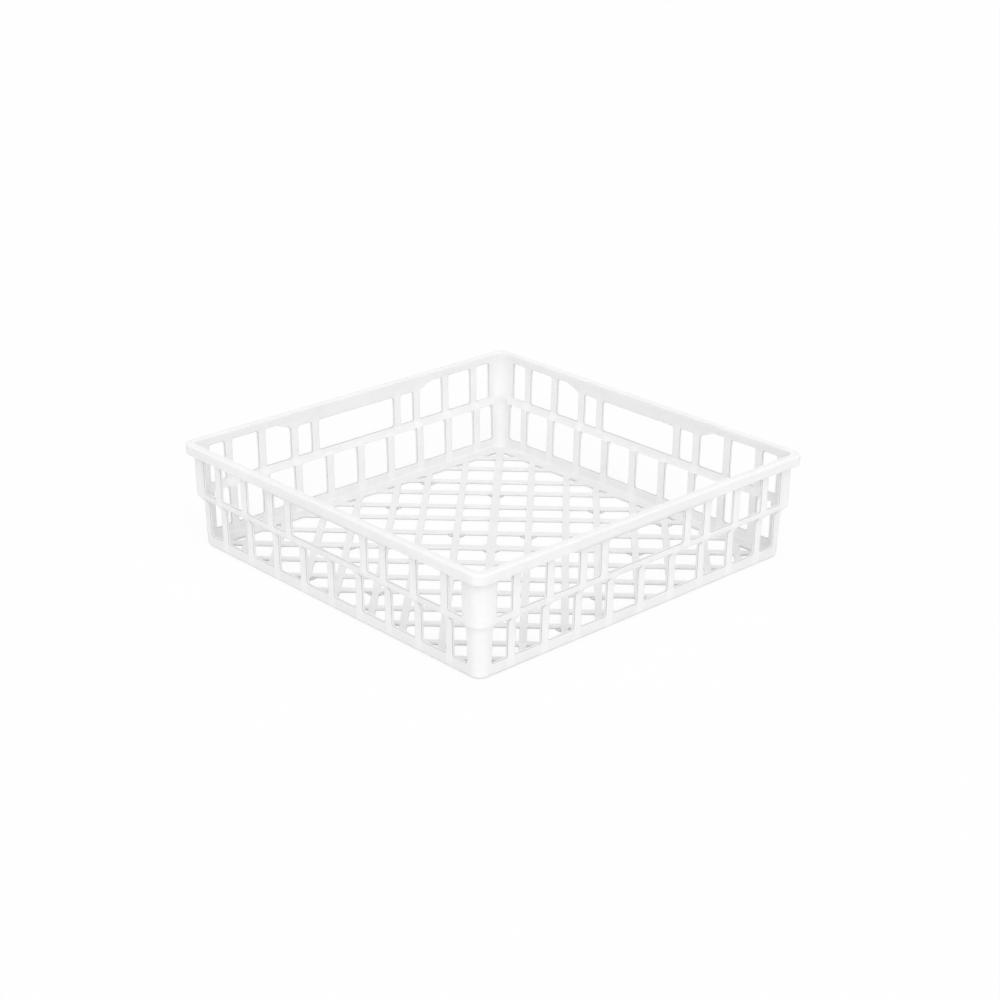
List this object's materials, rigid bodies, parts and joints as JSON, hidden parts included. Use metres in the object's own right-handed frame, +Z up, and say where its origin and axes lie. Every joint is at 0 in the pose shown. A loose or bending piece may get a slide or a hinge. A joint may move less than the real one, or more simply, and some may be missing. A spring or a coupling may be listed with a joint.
{
  "type": "tissue culture bottle tray",
  "caption": "Square open basket moulded in one piece, with windowed walls, a handle opening in each wall and a diagonal lattice floor.",
  "frame": {"origin": "centre of the underside, on the surface that the tray stands on", "axes": "+Z up out of the open top; X and Y square to the walls, each through the middle of a handle opening"},
  "size_m": [0.38, 0.38, 0.096],
  "materials": {
    "tray": "natural white polypropylene, satin, slightly translucent"
  },
  "bodies": {
    "root": {"tray": "tray"}
  },
  "joints": []
}
